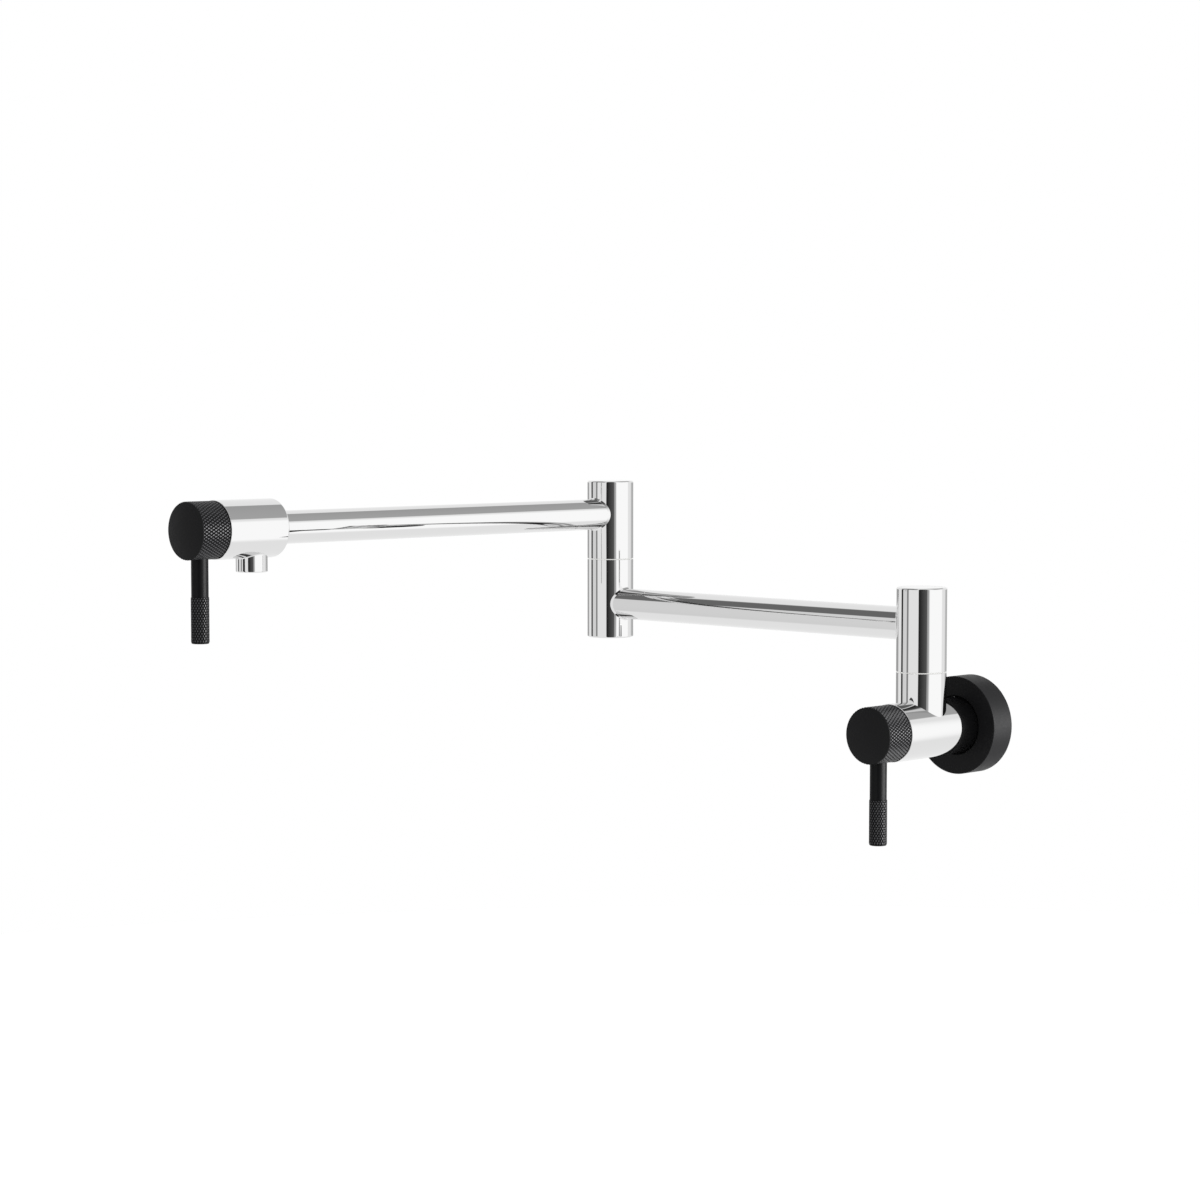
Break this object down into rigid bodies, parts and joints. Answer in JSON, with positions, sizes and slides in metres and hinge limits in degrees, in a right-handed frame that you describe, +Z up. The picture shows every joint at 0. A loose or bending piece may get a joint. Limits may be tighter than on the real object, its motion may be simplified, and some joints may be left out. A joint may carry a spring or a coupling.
{
  "type": "wall-mounted pot filler",
  "caption": "Wall-mounted swing-arm kitchen tap with a double-jointed arm, a lever valve at the wall and another above the outlet.",
  "frame": {"origin": "centre of the water inlet's mouth, in the plane of the wall", "axes": "+Y into the wall along the inlet, +Z up, +X to the user's right; the tap stands out towards -Y"},
  "size_m": [0.3127, 0.4018, 0.2116],
  "materials": {
    "chrome": "polished chrome plate on brass",
    "black_coat": "matt black powder coat",
    "black_knurl": "matt black coat over a diamond knurl",
    "black_union": "satin black plate",
    "raw_brass": "turned brass",
    "seal_rubber": "moulded EPDM rubber",
    "gasket_foam": "closed-cell foam",
    "ceramic": "lapped alumina ceramic",
    "ptfe": "PTFE",
    "aerator_plastic": "moulded acetal"
  },
  "bodies": {
    "wall_valve": {"wall_flange": "black_coat", "wall_gasket": "gasket_foam", "flange_seal_ring": "seal_rubber", "wall_union": "black_union", "union_seal_ring": "seal_rubber", "valve_body": "chrome", "base_spindle": "raw_brass", "base_spindle_seal_rings": "seal_rubber", "base_thrust_washer": "ptfe", "base_retaining_washer": "raw_brass", "base_retaining_nut": "raw_brass", "base_cartridge_housing": "raw_brass", "base_housing_seal_ring": "seal_rubber", "base_seat_seal": "seal_rubber", "base_fixed_disc": "ceramic"},
    "lower_arm": {"base_sleeve_post": "chrome", "base_post_cap": "chrome", "lower_arm_tube": "chrome", "elbow_lower_post": "chrome", "elbow_bottom_cap": "chrome", "elbow_spindle": "raw_brass", "elbow_spindle_seal_rings": "seal_rubber", "elbow_thrust_washer": "ptfe", "elbow_retaining_washer": "raw_brass", "elbow_retaining_nut": "raw_brass"},
    "upper_arm": {"elbow_upper_post": "chrome", "elbow_top_cap": "chrome", "upper_arm_tube": "chrome", "spout_body": "chrome", "spout_cartridge_housing": "raw_brass", "spout_housing_seal_ring": "seal_rubber", "spout_seat_seal": "seal_rubber", "spout_fixed_disc": "ceramic", "aerator_shell": "chrome", "aerator_washer": "seal_rubber", "aerator_insert": "aerator_plastic"},
    "base_handle": {"base_knob": "black_knurl", "base_lever": "black_knurl", "base_stem": "raw_brass", "base_stem_seal_rings": "seal_rubber", "base_moving_disc": "ceramic"},
    "spout_handle": {"spout_knob": "black_knurl", "spout_lever": "black_knurl", "spout_stem": "raw_brass", "spout_stem_seal_rings": "seal_rubber", "spout_moving_disc": "ceramic"}
  },
  "joints": [
    {"name": "base_swivel", "type": "hinge", "parent": "wall_valve", "child": "lower_arm", "pos_m": [0, -0.0506, 0.035], "axis": [0, 0, 1], "range_deg": [0, 180]},
    {"name": "elbow_swivel", "type": "hinge", "parent": "lower_arm", "child": "upper_arm", "pos_m": [-0.2651, -0.0506, 0.0931], "axis": [0, 0, 1], "continuous": true},
    {"name": "base_handle_turn", "type": "hinge", "parent": "wall_valve", "child": "base_handle", "pos_m": [0, -0.09, 0], "axis": [0, -1, 0], "range_deg": [0, 90]},
    {"name": "spout_handle_turn", "type": "hinge", "parent": "upper_arm", "child": "spout_handle", "pos_m": [-0.2651, -0.39, 0.12305], "axis": [0, -1, 0], "range_deg": [0, 90]}
  ]
}
